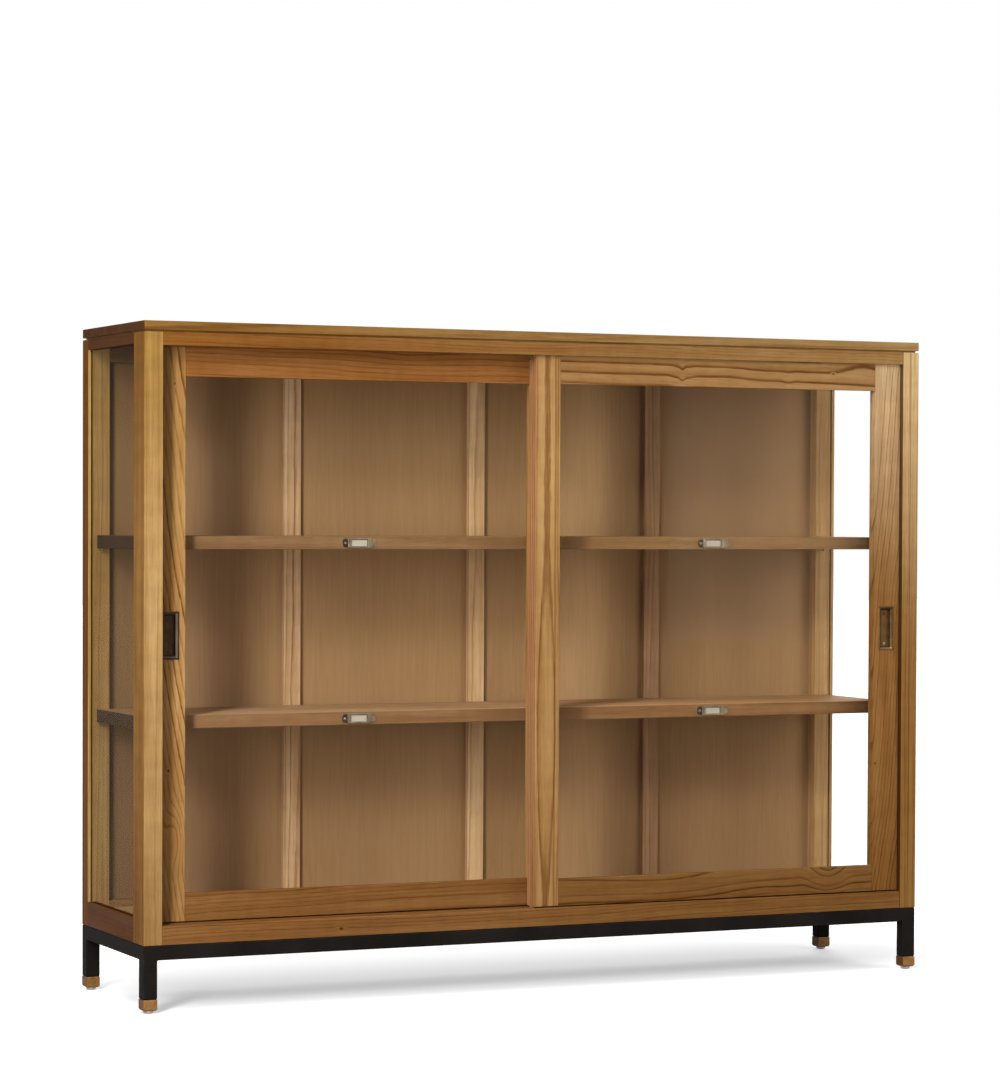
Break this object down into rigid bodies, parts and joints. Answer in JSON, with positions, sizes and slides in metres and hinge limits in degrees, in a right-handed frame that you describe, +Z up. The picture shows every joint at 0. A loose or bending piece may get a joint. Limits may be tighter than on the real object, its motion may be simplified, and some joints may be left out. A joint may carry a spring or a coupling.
{
  "type": "glazed display cabinet",
  "caption": "Low wide wooden display cabinet with glazed sliding doors, glass sides and shelves, on a black square-tube stand.",
  "frame": {"origin": "on the floor, under the middle of the cabinet", "axes": "+X to the right seen from the front, +Y towards the back, +Z up; the doors face -Y"},
  "size_m": [1.8, 0.41, 1.394],
  "materials": {
    "top_wood": "satin lacquer on a warm brown open-grained wood",
    "post_wood": "satin lacquer on a light golden wood",
    "rail_wood": "satin lacquer on a warm brown wood",
    "side_rail_wood": "satin lacquer on a mid brown wood",
    "door_wood": "satin lacquer over strong dark grain lines",
    "shelf_wood": "satin",
    "back_wood": "thin satin lacquer",
    "back_veneer": "fine straight-grained veneer, nearly matt",
    "batten_wood": "satin",
    "clear_glass": "clear float glass",
    "pin_brass": "satin",
    "antique_brass": "antique brass, dulled",
    "cream_card": "matt, blank",
    "black_steel": "satin black powder coat",
    "ferrule_brass": "brushed warm brass",
    "glide_plastic": "matt",
    "dark_bronze": "dark oil-rubbed bronze"
  },
  "bodies": {
    "carcass": {"top_panel": "top_wood", "front_left_post": "post_wood", "front_right_post": "post_wood", "rear_left_post": "post_wood", "rear_right_post": "post_wood", "front_top_rail": "rail_wood", "front_sill": "rail_wood", "left_top_rail": "side_rail_wood", "left_bottom_rail": "side_rail_wood", "right_top_rail": "side_rail_wood", "right_bottom_rail": "side_rail_wood", "rear_top_rail": "back_wood", "rear_bottom_rail": "back_wood", "back_panel": "back_veneer", "left_batten": "batten_wood", "middle_batten": "batten_wood", "right_batten": "batten_wood", "floor_board": "shelf_wood", "upper_shelf": "shelf_wood", "lower_shelf": "shelf_wood", "left_side_glass": "clear_glass", "right_side_glass": "clear_glass", "upper_shelf_front_left_pin": "pin_brass", "upper_shelf_front_right_pin": "pin_brass", "upper_shelf_rear_left_pin": "pin_brass", "upper_shelf_rear_right_pin": "pin_brass", "lower_shelf_front_left_pin": "pin_brass", "lower_shelf_front_right_pin": "pin_brass", "lower_shelf_rear_left_pin": "pin_brass", "lower_shelf_rear_right_pin": "pin_brass", "upper_left_label_holder": "antique_brass", "upper_right_label_holder": "antique_brass", "lower_left_label_holder": "antique_brass", "lower_right_label_holder": "antique_brass", "upper_left_label_card": "cream_card", "upper_right_label_card": "cream_card", "lower_left_label_card": "cream_card", "lower_right_label_card": "cream_card", "base_frame": "black_steel", "front_left_ferrule": "ferrule_brass", "front_right_ferrule": "ferrule_brass", "rear_left_ferrule": "ferrule_brass", "rear_right_ferrule": "ferrule_brass", "front_left_glide": "glide_plastic", "front_right_glide": "glide_plastic", "rear_left_glide": "glide_plastic", "rear_right_glide": "glide_plastic"},
    "left_door": {"left_door_outer_stile": "door_wood", "left_door_meeting_stile": "door_wood", "left_door_top_rail": "door_wood", "left_door_bottom_rail": "door_wood", "left_door_glass": "clear_glass", "left_door_pull": "dark_bronze"},
    "right_door": {"right_door_outer_stile": "door_wood", "right_door_meeting_stile": "door_wood", "right_door_top_rail": "door_wood", "right_door_bottom_rail": "door_wood", "right_door_glass": "clear_glass", "right_door_pull": "dark_bronze"}
  },
  "joints": [
    {"name": "left_door_slide", "type": "slide", "parent": "carcass", "child": "left_door", "axis": [1, 0, 0], "range_m": [0, 0.829]},
    {"name": "right_door_slide", "type": "slide", "parent": "carcass", "child": "right_door", "axis": [-1, 0, 0], "range_m": [0, 0.829]}
  ]
}
